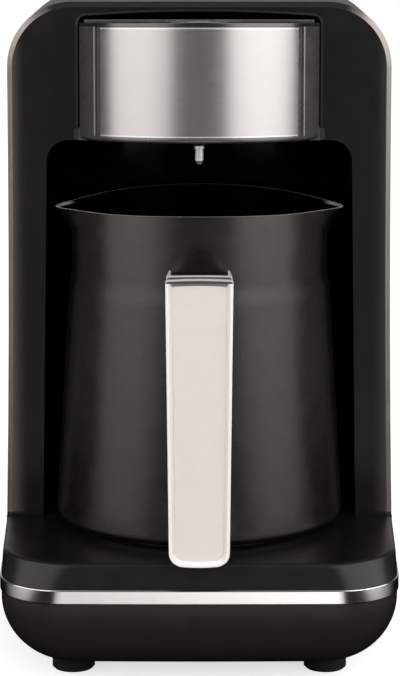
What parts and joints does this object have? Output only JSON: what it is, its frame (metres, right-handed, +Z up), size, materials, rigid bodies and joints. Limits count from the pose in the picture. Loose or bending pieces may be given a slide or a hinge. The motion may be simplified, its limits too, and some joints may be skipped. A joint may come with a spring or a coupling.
{
  "type": "electric turkish coffee maker",
  "caption": "Table-top coffee maker with an arched column, round head with a push button, hot plate and a lift-out pot with two pouring lips and a straight handle.",
  "frame": {"origin": "on the floor under the pot's vertical axis, which is the middle of the machine's footprint", "axes": "+Z up, -Y towards the front and the pot's handle, +X to the right seen from the front"},
  "size_m": [0.1458, 0.166, 0.239],
  "materials": {
    "foot_rubber": "matt moulded rubber",
    "housing_black": "dark satin to semi-gloss moulding",
    "base_black": "satin moulding",
    "rear_black": "finely textured moulding",
    "niche_black": "high gloss",
    "bright_band": "bright warm plated trim",
    "head_black": "semi-gloss dark grey moulding",
    "steel_panel": "brushed lengthwise, slightly warm",
    "head_trim_black": "gloss",
    "button_black": "gloss cap",
    "ring_chrome": "bright plated",
    "spring_steel": "drawn wire",
    "inner_plastic": "natural moulded",
    "circuit_board": "solder-masked glass-fibre board",
    "component_black": "moulded epoxy",
    "relay_blue": "moulded case",
    "terminal_green": "moulded case",
    "loom_sleeve": "flexible sleeve",
    "collar_black": "gloss",
    "probe_steel": "polished tube",
    "probe_grey": "satin",
    "plate_metal": "dark heat-proof coating",
    "seal_silicone": "matt silicone",
    "element_steel": "annealed sheath",
    "steatite": "unglazed",
    "zinc_steel": "zinc plated",
    "screw_steel": "zinc plated",
    "pot_coat": "satin charcoal non-stick coating, bare metal at the rim",
    "disc_aluminium": "machined",
    "bracket_steel": "pressed",
    "handle_bright": "bright warm plated",
    "inlay_champagne": "light metallic",
    "grip_black": "fine-textured heat-proof moulding"
  },
  "bodies": {
    "machine": {"feet": "foot_rubber", "base_bowl": "base_black", "base_screws": "screw_steel", "base_band": "bright_band", "front_frame": "housing_black", "niche_liner": "niche_black", "liner_screws": "screw_steel", "rear_cover": "rear_black", "rear_screws": "screw_steel", "cord_gland": "inner_plastic", "head_shell": "head_black", "head_panel": "steel_panel", "head_underside": "head_trim_black", "head_top": "head_trim_black", "button_guide": "inner_plastic", "button_ring": "ring_chrome", "head_strip": "ring_chrome", "button_spring": "spring_steel", "board_pillars": "inner_plastic", "control_board": "circuit_board", "button_switch": "component_black", "control_chips": "component_black", "probe_collar": "collar_black", "probe_tube": "probe_steel", "probe_tip": "probe_grey", "hot_plate": "plate_metal", "plate_seal": "seal_silicone", "heating_element": "element_steel", "thermostat": "steatite", "thermal_fuse": "steatite", "plate_carrier": "zinc_steel", "carrier_screws": "screw_steel", "board_standoffs": "inner_plastic", "power_board": "circuit_board", "relay": "relay_blue", "buzzer": "component_black", "power_parts": "component_black", "terminal_block": "terminal_green", "wire_loom": "loom_sleeve"},
    "button": {"brew_button": "button_black"},
    "pot": {"pot_vessel": "pot_coat", "pot_base_disc": "disc_aluminium", "handle_bracket": "bracket_steel", "handle_shell": "handle_bright", "handle_inlay": "inlay_champagne", "handle_grip": "grip_black", "handle_screw": "screw_steel"}
  },
  "joints": [
    {"name": "button_press", "type": "slide", "parent": "machine", "child": "button", "axis": [0, 0, -1], "range_m": [0, 0.0018], "stiffness_N_per_m": 500, "springref_m": -0.001, "deforming": ["button_spring"]},
    {"name": "pot_pull", "type": "slide", "parent": "machine", "child": "pot", "axis": [0, -0.9976, 0.0698], "range_m": [0, 0.15]}
  ]
}
